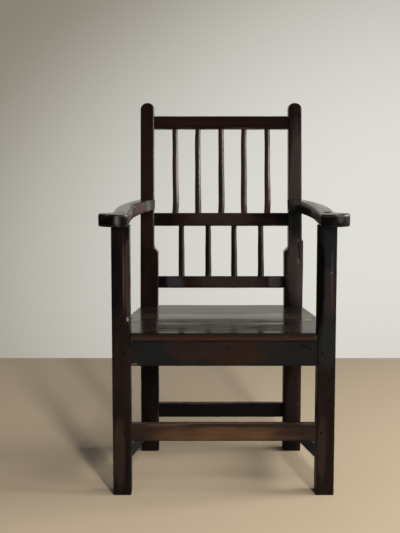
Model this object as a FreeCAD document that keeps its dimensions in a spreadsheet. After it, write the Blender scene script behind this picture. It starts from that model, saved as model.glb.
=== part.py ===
import FreeCAD, Part
import os
import re
import Sketcher

# A joined oak armchair with an open back of rails and shaved sticks.
# Millimetres, +Z up, the sitter faces -Y, and the origin is on the floor under
# the middle of the whole chair. The chair is the same on both sides, so each
# piece of a pair is modelled for the right side (+X) and mirrored for the left.

# Driving sizes, one spreadsheet cell each, in millimetres and degrees
SIZES = {
    # Seat
    "seat_height": 425,
    "board_thick": 19,
    "seat_run": 348,
    "seat_notch_gap": 0.6,
    "seat_back_lip": 30,
    "front_board_wide": 153,
    "middle_board_wide": 134,
    "board_joint_gap": 0.4,
    "nosing_quirk": 6,
    "nosing_round": 5,
    # Posts
    "front_spread": 570,
    "front_post_wide": 47,
    "front_post_deep": 58,
    "rear_spread": 462,
    "rear_post_wide": 51,
    "rear_post_slim": 39,
    "rear_post_deep": 46,
    "rake_angle": 7.9,
    "step_below_rail": 64.4,
    "step_rise": 13,
    "post_arris": 2.2,
    # Scooped chamfer on the inner front arris of each front post
    "scoop_depth": 15,
    "scoop_above_seat": 7,
    "scoop_foot_run": 104,
    "scoop_head_run": 52,
    "scoop_below_arm": 23,
    # Arms
    "arm_above_rail": 6.5,
    "arm_thick": 33,
    "arm_wide": 42,
    "arm_nose": 24,
    "arm_straight": 138,
    "arm_arris": 3,
    "nose_radius": 60,
    "nose_off_post": 6.5,
    "ear_reach": 34,
    "ear_deep": 50,
    "ear_flat": 5,
    "ear_round": 8,
    "post_tenon_wide": 17,
    "post_tenon_deep": 30,
    "post_tenon_back": 20,
    "arm_tenon_tall": 20,
    "arm_tenon_thick": 12,
    "arm_tenon_long": 28,
    # Seat rails
    "seat_rail_tall": 66,
    "seat_rail_thick": 24,
    "front_setback": 3,
    "side_setback": 2,
    "rear_setback": 13,
    "rail_tenon_thick": 10,
    "rail_tenon_long": 32,
    "rear_tenon_long": 24,
    "side_tenon_long": 26,
    "tenon_shoulder": 8,
    # Stretchers
    "front_stretcher_foot": 143,
    "front_stretcher_tall": 44,
    "front_stretcher_thick": 26,
    "rear_stretcher_foot": 98,
    "rear_stretcher_tall": 40,
    "rear_stretcher_thick": 22,
    "side_stretcher_front_foot": 84,
    "side_stretcher_rear_foot": 48,
    "side_stretcher_tall": 38,
    "side_stretcher_thick": 21,
    "bar_arris": 1.8,
    # Rails of the back, one above the other along the rake, with the sticks between
    "lower_rail_up": 54,
    "lower_stick_long": 145,
    "upper_stick_long": 241,
    "top_rail_drop": 73.5,
    "back_rail_tall": 36,
    "lower_rail_tall": 33,
    "back_rail_thick": 21,
    "back_rail_setback": 4,
    "back_tenon_thick": 9,
    "back_tenon_long": 26,
    "back_tenon_shoulder": 5,
    # Sticks
    "upper_stick_pitch": 66,
    "lower_stick_pitch": 75.5,
    "stick_foot_wide": 18.6,
    "stick_head_wide": 16,
    "stick_tenon_wide": 10,
    "stick_tenon_long": 14,
    # Pegs and fits
    "peg_wide": 8,
    "peg_proud": 0.8,
    "peg_past": 4,
    "seat_peg_wide": 9,
    "seat_peg_long": 52,
    "peg_fit": 0.05,
    "mortise_fit": 0.15,
    "mortise_spare": 2,
    "overrun": 5,
}

# How far each flat of a regular octagon reaches, as a share of its width
OCTAGON_SHARE = 0.41421356
# The middle of a quarter round, as a share of its radius
DIAGONAL_SHARE = 0.70710678118655
# How far from the shoulder a peg crosses its tenon, as a share of the tenon
PEG_SHARE = 0.42
# Where each pair of seat pegs stands, as a share of its board's width
SEAT_PEG_SHARE = 0.5

# Places worked out from the sizes
PLACES = {
    "middle_rail_up": "lower_rail_up + lower_rail_tall + lower_stick_long",
    "top_rail_up": "middle_rail_up + back_rail_tall + upper_stick_long",
    "back_height": "seat_height + (top_rail_up + top_rail_drop) * cos(rake_angle)",
    "step_height": "seat_height + (middle_rail_up - step_below_rail) * cos(rake_angle) - step_rise",
    "rake_run": "(back_height - seat_height) * tan(rake_angle)",
    "whole_deep": "arm_nose + front_post_deep + seat_run + rake_run + rear_post_deep",
    "front_y": "arm_nose - whole_deep / 2",
    "front_back_y": "front_y + front_post_deep",
    "rear_y": "front_back_y + seat_run",
    "rear_back_y": "rear_y + rear_post_deep",
    "front_outer_x": "front_spread / 2",
    "front_inner_x": "front_outer_x - front_post_wide",
    "front_middle_x": "front_outer_x - front_post_wide / 2",
    "rear_outer_x": "rear_spread / 2",
    "rear_inner_x": "rear_outer_x - rear_post_wide",
    "rear_slim_x": "rear_outer_x - rear_post_slim",
    "rear_slim_middle_x": "rear_outer_x - rear_post_slim / 2",
    "rail_top": "seat_height - board_thick",
    "rail_foot": "rail_top - seat_rail_tall",
    "rail_middle": "rail_top - seat_rail_tall / 2",
    "arm_under": "seat_height + (middle_rail_up + back_rail_tall) * cos(rake_angle) + arm_above_rail",
    "arm_top": "arm_under + arm_thick",
    "arm_middle": "arm_top - arm_thick / 2",
    "arm_outer_x": "front_middle_x + arm_wide / 2",
    "arm_inner_x": "front_middle_x - arm_wide / 2",
    "ear_x": "arm_outer_x + ear_reach",
    "ear_hollow": "ear_reach - ear_round - ear_flat",
    "arm_front_y": "front_y - arm_nose",
    "ear_back_y": "arm_front_y + ear_deep",
    "nose_middle_x": "front_middle_x + nose_off_post",
    "ear_across": "ear_x - ear_round - nose_middle_x",
    "ear_along": "sqrt((nose_radius - ear_round) ^ 2 - ear_across ^ 2)",
    "palm_across": "nose_middle_x - arm_inner_x - ear_round",
    "palm_along": "sqrt((nose_radius - ear_round) ^ 2 - palm_across ^ 2)",
    "arm_bend_y": "front_y + arm_straight",
    "arm_rear_y": "rear_y + (arm_middle - seat_height) * tan(rake_angle)",
    "arm_sweep": "front_middle_x - rear_slim_middle_x",
    "arm_length": "arm_rear_y - arm_bend_y",
    "arm_radius": "(arm_sweep ^ 2 + arm_length ^ 2) / (2 * arm_sweep)",
    "arm_end_turn": "asin((arm_length + overrun) / (arm_radius - arm_wide / 2))",
    "arm_centre_x": "front_middle_x - arm_radius",
    "seat_edge_slope": "(front_outer_x - rear_outer_x) / seat_run",
    "joint_one_y": "front_y + front_board_wide",
    "joint_two_y": "joint_one_y + middle_board_wide",
    "seat_rear_y": "rear_y + seat_back_lip",
    "scoop_foot": "seat_height + scoop_above_seat",
    "scoop_straight_foot": "scoop_foot + scoop_foot_run",
    "scoop_head": "arm_under - scoop_below_arm",
    "scoop_straight_head": "scoop_head - scoop_head_run",
    "back_rail_middle": "back_rail_setback + back_rail_thick / 2",
}

WORD = re.compile(r"[a-z][a-z0-9_]*")

doc = FreeCAD.newDocument("JoinedArmchair")
sheet = doc.addObject("Spreadsheet::Sheet", "Sizes")
for row, (word, size) in enumerate(SIZES.items(), 1):
    sheet.set(f"A{row}", word)
    sheet.set(f"B{row}", str(size))
    sheet.setAlias(f"B{row}", word)
doc.recompute()


def formula(text):
    """Turns the names of sizes and places in a sum into references to the spreadsheet."""

    def refer(match):
        word = match[0]
        if word in PLACES:
            return "(" + formula(PLACES[word]) + ")"
        if word in SIZES:
            return "Sizes." + word
        return word

    return WORD.sub(refer, text)


def bind(item, path, text):
    item.setExpression(path, formula(text))


def moved_to(item, x, y, z):
    """Places an object by three sums and returns it."""
    for axis, text in (("x", x), ("y", y), ("z", z)):
        bind(item, f"Placement.Base.{axis}", text)
    return item


def raked(item):
    """Stands an object that was drawn upright at the origin in the raked plane of the back."""
    item.Placement.Rotation = FreeCAD.Rotation(FreeCAD.Vector(-1, 0, 0), SIZES["rake_angle"])
    bind(item, "Placement.Base.y", "rear_y")
    bind(item, "Placement.Base.z", "seat_height")
    bind(item, "Placement.Rotation.Angle", "rake_angle")
    return item


# Plain solids, and the ways to join, cut and mirror them


def block(name, corner, wide, deep, tall):
    item = doc.addObject("Part::Box", name)
    bind(item, "Length", wide)
    bind(item, "Width", deep)
    bind(item, "Height", tall)
    return moved_to(item, *corner)


def aimed(item, start, direction):
    """Starts an upright object at a point and turns it to run along a direction."""
    item.Placement.Rotation = FreeCAD.Rotation(FreeCAD.Vector(0, 0, 1), FreeCAD.Vector(*direction))
    return moved_to(item, *start)


def shaved_rod(name, start, wide, length, direction):
    """A rod shaved to eight sides, as wide across its corners as given."""
    item = doc.addObject("Part::Prism", name)
    item.Polygon = 8
    bind(item, "Circumradius", f"({wide}) / 2")
    bind(item, "Height", length)
    return aimed(item, start, direction)


def round_hole(name, start, wide, length, direction):
    item = doc.addObject("Part::Cylinder", name)
    bind(item, "Radius", f"({wide}) / 2")
    bind(item, "Height", length)
    return aimed(item, start, direction)


def group(name, items):
    item = doc.addObject("Part::Compound", name)
    item.Links = items
    return item


def fused(name, items):
    item = doc.addObject("Part::MultiFuse", name)
    item.Shapes = items
    return item


def cut(name, base, tool):
    item = doc.addObject("Part::Cut", name)
    item.Base = base
    item.Tool = tool
    return item


def mirrored(name, item):
    """The left-hand copy of a right-hand piece."""
    copy = doc.addObject("Part::Mirroring", name)
    copy.Source = item
    copy.Normal = FreeCAD.Vector(1, 0, 0)
    return copy


# Sketches whose corners are bound to the sizes, and the features made from them


def new_body(name):
    return doc.addObject("PartDesign::Body", name)


def new_sketch(body, name, role, offset="0"):
    sketch = body.newObject("Sketcher::SketchObject", name)
    plane = [feature for feature in body.Origin.OriginFeatures if feature.Role == role][0]
    sketch.AttachmentSupport = [(plane, "")]
    sketch.MapMode = "FlatFace"
    bind(sketch, "AttachmentOffset.Base.z", offset)
    return sketch


def bound_point(sketch, x, y):
    """Adds a construction point held at two sums from the sketch's origin."""
    point = sketch.addGeometry(Part.Point(FreeCAD.Vector(0, 0, 0)), True)
    for kind, text in (("DistanceX", x), ("DistanceY", y)):
        index = sketch.addConstraint(Sketcher.Constraint(kind, -1, 1, point, 1, 1.0))
        bind(sketch, f"Constraints[{index}]", text)
    return point


def outline(sketch, corners):
    """Draws a closed outline. A corner of four sums starts an arc through its second pair."""
    points = [bound_point(sketch, corner[0], corner[1]) for corner in corners]
    through = [bound_point(sketch, *corner[2:]) if len(corner) == 4 else None for corner in corners]
    doc.recompute()

    def spot(point):
        return FreeCAD.Vector(sketch.Geometry[point].X, sketch.Geometry[point].Y, 0)

    for index, start in enumerate(points):
        end = points[(index + 1) % len(points)]
        middle = through[index]
        if middle is None:
            edge = sketch.addGeometry(Part.LineSegment(spot(start), spot(end)))
        else:
            edge = sketch.addGeometry(Part.Arc(spot(start), spot(middle), spot(end)))
        near, far = 1, 2
        if sketch.getPoint(edge, 2).isEqual(spot(start), 1e-6):
            near, far = 2, 1
        sketch.addConstraint(Sketcher.Constraint("Coincident", edge, near, start, 1))
        sketch.addConstraint(Sketcher.Constraint("Coincident", edge, far, end, 1))
        if middle is not None:
            sketch.addConstraint(Sketcher.Constraint("PointOnObject", middle, 1, edge))
    return sketch


def padded(body, sketch, length, direction=None, back=False):
    """Pads a sketch along its normal, or obliquely with the length measured square to it."""
    feature = body.newObject("PartDesign::Pad", sketch.Name + "_pad")
    feature.Profile = sketch
    feature.Reversed = back
    if direction:
        feature.UseCustomVector = True
        feature.AlongSketchNormal = True
        for axis, text in zip("xyz", direction):
            bind(feature, f"Direction.{axis}", text)
    bind(feature, "Length", length)
    return feature


def pocketed(body, sketch, length=None, direction=None):
    """Cuts a sketch into the body, against its normal, through everything if no length is given."""
    feature = body.newObject("PartDesign::Pocket", sketch.Name + "_pocket")
    feature.Profile = sketch
    if direction:
        feature.UseCustomVector = True
        feature.AlongSketchNormal = True
        feature.Direction = FreeCAD.Vector(*direction)
    if length:
        bind(feature, "Length", length)
    else:
        feature.Type = "ThroughAll"
    return feature


def lofted(body, first, second):
    feature = body.newObject("PartDesign::AdditiveLoft", first.Name + "_loft")
    feature.Profile = first
    feature.Sections = [second]
    feature.Ruled = True
    return feature


def rectangle(x_low, x_high, y_low, y_high):
    return [(x_low, y_low), (x_high, y_low), (x_high, y_high), (x_low, y_high)]


def eased_rectangle(x_low, x_high, y_low, y_high, arris):
    """The corners of a rectangle whose own corners are taken off by a small chamfer."""
    return [
        (f"{x_low} + {arris}", y_low),
        (f"{x_high} - {arris}", y_low),
        (x_high, f"{y_low} + {arris}"),
        (x_high, f"{y_high} - {arris}"),
        (f"{x_high} - {arris}", y_high),
        (f"{x_low} + {arris}", y_high),
        (x_low, f"{y_high} - {arris}"),
        (x_low, f"{y_low} + {arris}"),
    ]


def octagon(x, y, wide):
    """The corners of a regular octagon with its flats square to the sketch."""
    half = f"{wide} / 2"
    short = f"{wide} / 2 * {OCTAGON_SHARE}"
    turns = [(half, short), (short, half)]
    corners = []
    for across, along in (("-", "-"), ("+", "-"), ("+", "+"), ("-", "+")):
        order = turns if across == along else turns[::-1]
        corners += [(f"{x} {across} {a}", f"{y} {along} {b}") for a, b in order]
    return corners


# Pegs. Each joint is held by an oak peg, shaved to eight sides, that crosses the tenon.
# It is driven so tight that its bore has taken the same eight sides

BACKWARD = (0, 1, 0)
FORWARD = (0, -1, 0)
INWARD = (-1, 0, 0)
DOWNWARD = (0, 0, -1)
UPWARD = (0, 0, 1)


def peg_and_bore(name, start, direction, length, wide="peg_wide"):
    """A peg whose head stands just proud of the face at its start, and its bore."""

    def before(distance):
        return [f"{text} - ({step}) * {distance}" for text, step in zip(start, direction)]

    peg = shaved_rod(name + "_peg", before("peg_proud"), wide, f"{length} + peg_proud", direction)
    bore = shaved_rod(
        name + "_bore",
        before("overrun"),
        f"{wide} + 2 * peg_fit",
        f"{length} + overrun + peg_fit",
        direction,
    )
    return peg, bore


# Bars that run across the chair: rails and stretchers. The tenon is (thick, long, shoulder)

RAIL_TENON = ("rail_tenon_thick", "rail_tenon_long", "tenon_shoulder")
REAR_TENON = ("rail_tenon_thick", "rear_tenon_long", "tenon_shoulder")
BACK_TENON = ("back_tenon_thick", "back_tenon_long", "back_tenon_shoulder")


def cross_bar(name, half, y_low, thick, z_low, tall, tenon):
    """A bar with eased arrises and a tenon at each end.

    Returns it with the mortise for its right-hand tenon, and where a peg crosses that tenon.
    """
    tenon_thick, tenon_long, shoulder = tenon
    body = new_body(name + "_bar")
    sketch = new_sketch(body, name + "_section", "YZ_Plane", f"-{half}")
    sides = (y_low, f"{y_low} + {thick}", z_low, f"{z_low} + {tall}")
    outline(sketch, eased_rectangle(*sides, "bar_arris"))
    padded(body, sketch, f"2 * {half}")
    cheek = f"{y_low} + ({thick} - {tenon_thick}) / 2"
    tenons = block(
        name + "_tenons",
        (f"-({half} + {tenon_long})", cheek, f"{z_low} + {shoulder}"),
        f"2 * ({half} + {tenon_long})",
        tenon_thick,
        f"{tall} - 2 * {shoulder}",
    )
    mortise = block(
        name + "_mortise",
        (f"{half} - overrun", f"{cheek} - mortise_fit", f"{z_low} + {shoulder} - mortise_fit"),
        f"overrun + {tenon_long} + mortise_spare",
        f"{tenon_thick} + 2 * mortise_fit",
        f"{tall} - 2 * {shoulder} + 2 * mortise_fit",
    )
    peg_spot = (f"{half} + {tenon_long} * {PEG_SHARE}", f"{z_low} + {tall} / 2")
    return fused(name + "_blank", [body, tenons]), mortise, peg_spot


def finished_bar(name, blank, bore, others=()):
    """Cuts the peg bores at both ends of a cross bar, and any other holes."""
    tool = fused(name + "_holes", [bore, mirrored(bore.Name + "_left", bore), *others])
    return cut(name, blank, tool)


front_rail, front_rail_mortise, front_rail_spot = cross_bar(
    "front_seat_rail", "front_inner_x", "front_y + front_setback", "seat_rail_thick",
    "rail_foot", "seat_rail_tall", RAIL_TENON,
)
front_bar, front_bar_mortise, front_bar_spot = cross_bar(
    "front_stretcher", "front_inner_x", "front_y + front_setback", "front_stretcher_thick",
    "front_stretcher_foot", "front_stretcher_tall", RAIL_TENON,
)
rear_rail, rear_rail_mortise, rear_rail_spot = cross_bar(
    "rear_seat_rail", "rear_inner_x", "rear_y + rear_setback", "seat_rail_thick",
    "rail_foot", "seat_rail_tall", REAR_TENON,
)
rear_bar, rear_bar_mortise, rear_bar_spot = cross_bar(
    "rear_stretcher", "rear_inner_x", "rear_y + rear_setback", "rear_stretcher_thick",
    "rear_stretcher_foot", "rear_stretcher_tall", REAR_TENON,
)

# A peg in a front joint enters the post's front face, one in a rear joint its rear face
FRONT_PEG_LONG = "front_setback + front_stretcher_thick + peg_past"
REAR_PEG_LONG = "rear_post_deep - rear_setback"


def front_peg(name, spot):
    x, z = spot
    return peg_and_bore(name, (x, "front_y", z), BACKWARD, FRONT_PEG_LONG)


def rear_peg(name, spot):
    x, z = spot
    return peg_and_bore(name, (x, "rear_back_y", z), FORWARD, REAR_PEG_LONG)


front_rail_peg, front_rail_bore = front_peg("front_rail", front_rail_spot)
front_bar_peg, front_bar_bore = front_peg("front_bar", front_bar_spot)
rear_rail_peg, rear_rail_bore = rear_peg("rear_rail", rear_rail_spot)
rear_bar_peg, rear_bar_bore = rear_peg("rear_bar", rear_bar_spot)
finished_bar("front_seat_rail", front_rail, front_rail_bore)
finished_bar("front_stretcher", front_bar, front_bar_bore)
finished_bar("rear_seat_rail", rear_rail, rear_rail_bore)
finished_bar("rear_stretcher", rear_bar, rear_bar_bore)

# Side bars run obliquely in plan from the wide front to the narrow back, and the
# stretchers fall towards the back. Both shoulders lie in the faces of the posts


def oblique_bar(name, x_low, z_low, wide, tall, slopes, reach, arris=None):
    """A bar whose section at the front post's back face is given, run past both ends by a reach."""
    slope_x, slope_z = slopes
    left = f"({x_low} - ({slope_x}) * ({reach}))"
    foot = f"({z_low} - ({slope_z}) * ({reach}))"
    body = new_body(name)
    sketch = new_sketch(body, name + "_section", "XZ_Plane", f"-(front_back_y - ({reach}))")
    sides = (left, f"{left} + {wide}", foot, f"{foot} + {tall}")
    outline(sketch, eased_rectangle(*sides, arris) if arris else rectangle(*sides))
    padded(body, sketch, f"seat_run + 2 * ({reach})", (f"-({slope_x})", "-1", f"-({slope_z})"), back=True)
    return body


def side_bar(name, x_front, x_rear, z_front, z_rear, thick, tall):
    """The blank of a right-hand side bar with its tenons, and one cutter for both its mortises."""
    slopes = (f"({x_rear} - ({x_front})) / seat_run", f"({z_rear} - ({z_front})) / seat_run")
    bar = oblique_bar(name + "_bar", x_front, z_front, thick, tall, slopes, "0", "bar_arris")
    cheek = f"{x_front} + ({thick} - rail_tenon_thick) / 2"
    edge = f"{z_front} + tenon_shoulder"
    tenon_tall = f"{tall} - 2 * tenon_shoulder"
    tenons = oblique_bar(
        name + "_tenons", cheek, edge, "rail_tenon_thick", tenon_tall, slopes, "side_tenon_long"
    )
    mortises = oblique_bar(
        name + "_mortises",
        f"{cheek} - mortise_fit",
        f"{edge} - mortise_fit",
        "(rail_tenon_thick + 2 * mortise_fit)",
        f"({tenon_tall} + 2 * mortise_fit)",
        slopes,
        "side_tenon_long + mortise_spare",
    )
    return fused(name + "_blank", [bar, tenons]), mortises


RAIL_FRONT_X = "(front_outer_x - side_setback - seat_rail_thick)"
RAIL_REAR_X = "(rear_outer_x - side_setback - seat_rail_thick)"
STRETCHER_REAR_X = "(rear_outer_x - rear_post_wide / 2)"

side_rail, side_rail_mortises = side_bar(
    "side_seat_rail", RAIL_FRONT_X, RAIL_REAR_X, "rail_foot", "rail_foot", "seat_rail_thick", "seat_rail_tall"
)
side_stretcher, side_stretcher_mortises = side_bar(
    "side_stretcher", "front_inner_x", STRETCHER_REAR_X, "side_stretcher_front_foot",
    "side_stretcher_rear_foot", "side_stretcher_thick", "side_stretcher_tall",
)

PEG_INSET = f"side_tenon_long * {PEG_SHARE}"
STRETCHER_MIDDLE = "side_stretcher_tall / 2"
SIDE_PEGS = {
    "side_rail_front": ("front_outer_x", f"front_back_y - {PEG_INSET}", "rail_middle", RAIL_FRONT_X),
    "side_rail_rear": ("rear_outer_x", f"rear_y + {PEG_INSET}", "rail_middle", RAIL_REAR_X),
    "side_stretcher_front": (
        "front_outer_x",
        f"front_back_y - {PEG_INSET}",
        f"side_stretcher_front_foot + {STRETCHER_MIDDLE}",
        "front_inner_x",
    ),
    "side_stretcher_rear": (
        "rear_outer_x",
        f"rear_y + {PEG_INSET}",
        f"side_stretcher_rear_foot + {STRETCHER_MIDDLE}",
        STRETCHER_REAR_X,
    ),
}
side_pegs = {}
side_bores = {}
for joint, (face_x, peg_y, peg_z, inner_x) in SIDE_PEGS.items():
    side_pegs[joint], side_bores[joint] = peg_and_bore(
        joint, (face_x, peg_y, peg_z), INWARD, f"({face_x} - {inner_x} - side_setback)"
    )

# Seat pegs stand on the middle line of the side rails, one at each end of each board
BOARD_MIDDLES = {
    "front": f"(front_back_y + (joint_one_y - front_back_y) * {SEAT_PEG_SHARE})",
    "middle": f"(joint_one_y + middle_board_wide * {SEAT_PEG_SHARE})",
    "rear": f"(joint_two_y + (rear_y - joint_two_y) * {SEAT_PEG_SHARE})",
}
seat_pegs = {}
seat_bores = {}
for board, peg_y in BOARD_MIDDLES.items():
    peg_x = f"{RAIL_FRONT_X} + seat_rail_thick / 2 - seat_edge_slope * ({peg_y} - front_back_y)"
    seat_pegs[board], seat_bores[board] = peg_and_bore(
        board + "_board", (peg_x, peg_y, "seat_height"), DOWNWARD, "seat_peg_long", "seat_peg_wide"
    )

cut(
    "right_seat_rail",
    side_rail,
    fused(
        "side_rail_holes", [side_bores["side_rail_front"], side_bores["side_rail_rear"], *seat_bores.values()]
    ),
)
cut(
    "right_stretcher",
    side_stretcher,
    fused("side_stretcher_holes", [side_bores["side_stretcher_front"], side_bores["side_stretcher_rear"]]),
)

# Seat boards lie across the rails. The front one is notched round the front posts
# and the rear one fits between the rear posts


def seat_edge(y):
    """How far out the end of a board reaches at a place along the seat."""
    return f"front_outer_x - seat_edge_slope * ({y} - front_back_y)"


def seat_board(name, half_outline):
    """A board whose right-hand outline, front to back, is given as corners."""
    body = new_body(name + "_blank")
    sketch = new_sketch(body, name + "_plan", "XY_Plane", "rail_top")
    left = [(f"-({x})", y) for x, y in reversed(half_outline)]
    outline(sketch, half_outline + left)
    padded(body, sketch, "board_thick")
    return body


def pegged_board(name, body, board):
    bore = seat_bores[board]
    return cut(name, body, fused(name + "_holes", [bore, mirrored(name + "_left_bore", bore)]))


front_notch_x = "front_inner_x - seat_notch_gap"
front_notch_y = "(front_back_y + seat_notch_gap)"
board_one_rear = "(joint_one_y - board_joint_gap / 2)"
board_two_front = "(joint_one_y + board_joint_gap / 2)"
board_two_rear = "(joint_two_y - board_joint_gap / 2)"
board_three_front = "(joint_two_y + board_joint_gap / 2)"
rear_notch_x = "rear_inner_x - seat_notch_gap"
rear_notch_y = "(rear_y - seat_notch_gap)"

front_board = seat_board(
    "front_seat_board",
    [
        (front_notch_x, "front_y"),
        (front_notch_x, front_notch_y),
        (seat_edge(front_notch_y), front_notch_y),
        (seat_edge(board_one_rear), board_one_rear),
    ],
)
middle_board = seat_board(
    "middle_seat_board",
    [(seat_edge(board_two_front), board_two_front), (seat_edge(board_two_rear), board_two_rear)],
)
rear_board = seat_board(
    "rear_seat_board",
    [
        (seat_edge(board_three_front), board_three_front),
        (seat_edge(rear_notch_y), rear_notch_y),
        (rear_notch_x, rear_notch_y),
        (rear_notch_x, "seat_rear_y"),
    ],
)

# The thumbnail moulding on the front edge: a square quirk above a quarter round
quirk_y = "front_y + nosing_round"
quirk_z = "seat_height - nosing_quirk"
round_z = f"{quirk_z} - nosing_round"
nosing = new_sketch(front_board, "nosing_section", "YZ_Plane", "front_inner_x")
outline(
    nosing,
    [
        ("front_y - overrun", round_z),
        (
            "front_y",
            round_z,
            f"{quirk_y} - nosing_round * {DIAGONAL_SHARE}",
            f"{round_z} + nosing_round * {DIAGONAL_SHARE}",
        ),
        (quirk_y, quirk_z),
        (quirk_y, "seat_height + overrun"),
        ("front_y - overrun", "seat_height + overrun"),
    ],
)
pocketed(front_board, nosing, "2 * front_inner_x")

pegged_board("front_seat_board", front_board, "front")
pegged_board("middle_seat_board", middle_board, "middle")
pegged_board("rear_seat_board", rear_board, "rear")

# Front posts: square, with the scooped chamfer, and a tenon that comes through the arm

post = new_body("front_post_blank")
section = new_sketch(post, "front_post_section", "XY_Plane")
outline(section, eased_rectangle("front_inner_x", "front_outer_x", "front_y", "front_back_y", "post_arris"))
padded(post, section, "arm_under")


def run_out(height, rise):
    """The via point of a run-out, whose arc leaves the deep part of the scoop without a corner."""
    radius = f"(({rise}) ^ 2 + scoop_depth ^ 2) / (2 * scoop_depth)"
    return (
        f"front_inner_x + scoop_depth - {radius} + sqrt(({radius}) ^ 2 - (({rise}) / 2) ^ 2)",
        height,
    )


scoop = new_sketch(post, "scoop_profile", "XZ_Plane", "-(front_y)")
outline(
    scoop,
    [
        (
            "front_inner_x",
            "scoop_foot",
            *run_out("(scoop_foot + scoop_straight_foot) / 2", "scoop_straight_foot - scoop_foot"),
        ),
        ("front_inner_x + scoop_depth", "scoop_straight_foot"),
        (
            "front_inner_x + scoop_depth",
            "scoop_straight_head",
            *run_out("(scoop_head + scoop_straight_head) / 2", "scoop_head - scoop_straight_head"),
        ),
        ("front_inner_x", "scoop_head"),
        ("front_inner_x - overrun", "scoop_head"),
        ("front_inner_x - overrun", "scoop_foot"),
    ],
)
pocketed(post, scoop, "scoop_depth + overrun", (-1, 1, 0))

post_tenon_corner = ("front_middle_x - post_tenon_wide / 2", "front_y + post_tenon_back")
post_tenon = block(
    "front_post_tenon",
    (*post_tenon_corner, "arm_under - overrun"),
    "post_tenon_wide",
    "post_tenon_deep",
    "arm_thick + overrun",
)
front_post_holes = fused(
    "front_post_holes",
    [
        front_rail_mortise,
        front_bar_mortise,
        side_rail_mortises,
        side_stretcher_mortises,
        front_rail_bore,
        front_bar_bore,
        side_bores["side_rail_front"],
        side_bores["side_stretcher_front"],
    ],
)
cut("right_front_post", fused("front_post_whole", [post, post_tenon]), front_post_holes)

# Arms: a straight front with a square ear, then a sweep in to the rear post


def on_sweep(turn, side):
    """A point on the inner or outer edge of the sweep."""
    radius = f"(arm_radius {side} arm_wide / 2)"
    return (f"arm_centre_x + {radius} * cos({turn})", f"arm_bend_y + {radius} * sin({turn})")


def quarter(x, y, x_step, y_step, radius):
    """The via point of a rounded corner with its centre at x, y."""
    return (f"{x} {x_step} {radius} * {DIAGONAL_SHARE}", f"{y} {y_step} {radius} * {DIAGONAL_SHARE}")


def nose_corner(side, across, along):
    """A rounded corner that runs without a kink into the bowed front: its start there, its
    via point, and its end on the arm's side."""
    x = f"(nose_middle_x {side} {across})"
    y = f"(arm_front_y + nose_radius - {along})"
    share = "ear_round / (nose_radius - ear_round)"
    halfway = f"atan({along} / {across}) / 2"
    start = (f"{x} {side} {across} * {share}", f"{y} - {along} * {share}")
    middle = (f"{x} {side} ear_round * cos({halfway})", f"{y} - ear_round * sin({halfway})")
    return start, middle, (f"{x} {side} ear_round", y)


arm = new_body("arm_blank")
plan = new_sketch(arm, "arm_plan", "XY_Plane", "arm_under")
hollow = ("arm_outer_x + ear_hollow", "ear_back_y + ear_hollow")
ear_start, ear_middle, ear_end = nose_corner("+", "ear_across", "ear_along")
palm_start, palm_middle, palm_end = nose_corner("-", "palm_across", "palm_along")
outline(
    plan,
    [
        (*palm_start, "nose_middle_x", "arm_front_y"),
        (*ear_start, *ear_middle),
        ear_end,
        (
            "ear_x",
            "ear_back_y - ear_round",
            *quarter("ear_x - ear_round", "ear_back_y - ear_round", "+", "+", "ear_round"),
        ),
        ("ear_x - ear_round", "ear_back_y"),
        (hollow[0], "ear_back_y", *quarter(*hollow, "-", "-", "ear_hollow")),
        ("arm_outer_x", hollow[1]),
        ("arm_outer_x", "arm_bend_y", *on_sweep("arm_end_turn / 2", "+")),
        on_sweep("arm_end_turn", "+"),
        (*on_sweep("arm_end_turn", "-"), *on_sweep("arm_end_turn / 2", "-")),
        ("arm_inner_x", "arm_bend_y"),
        (*palm_end, *palm_middle),
    ],
)
arm_pad = padded(arm, plan, "arm_thick")
doc.recompute()


def level_edges(shape):
    """The names of the edges round the top and the bottom, but not those of the far end."""
    low, high, back = shape.BoundBox.ZMin, shape.BoundBox.ZMax, shape.BoundBox.YMax
    names = []
    for index, edge in enumerate(shape.Edges, 1):
        box = edge.BoundBox
        at_end = isinstance(edge.Curve, Part.Line) and back - box.YMax < SIZES["arm_arris"]
        if box.ZLength < 1e-6 and min(box.ZMin - low, high - box.ZMax) < 1e-3 and not at_end:
            names.append(f"Edge{index}")
    return names


arm_easing = arm.newObject("PartDesign::Chamfer", "arm_easing")
arm_easing.Base = (arm_pad, level_edges(arm_pad.Shape))
bind(arm_easing, "Size", "arm_arris")

# Everything behind the front face of the raked rear post is cut off the arm
behind_post = raked(
    group(
        "behind_post",
        [block("behind_post_block", ("0", "0", "0"), "front_spread", "front_spread", "back_height")],
    )
)
arm_tenon_start = "arm_rear_y - arm_thick"
arm_tenon = block(
    "arm_tenon",
    ("rear_slim_middle_x - arm_tenon_thick / 2", arm_tenon_start, "arm_middle - arm_tenon_tall / 2"),
    "arm_tenon_thick",
    "arm_thick + arm_tenon_long",
    "arm_tenon_tall",
)
arm_mortise = block(
    "arm_mortise",
    (
        "rear_slim_middle_x - arm_tenon_thick / 2 - mortise_fit",
        arm_tenon_start,
        "arm_middle - arm_tenon_tall / 2 - mortise_fit",
    ),
    "arm_tenon_thick + 2 * mortise_fit",
    "arm_thick + arm_tenon_long + mortise_spare",
    "arm_tenon_tall + 2 * mortise_fit",
)
post_tenon_mortise = block(
    "post_tenon_mortise",
    (
        f"{post_tenon_corner[0]} - mortise_fit",
        f"{post_tenon_corner[1]} - mortise_fit",
        "arm_under - overrun",
    ),
    "post_tenon_wide + 2 * mortise_fit",
    "post_tenon_deep + 2 * mortise_fit",
    "arm_thick + 2 * overrun",
)
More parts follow.
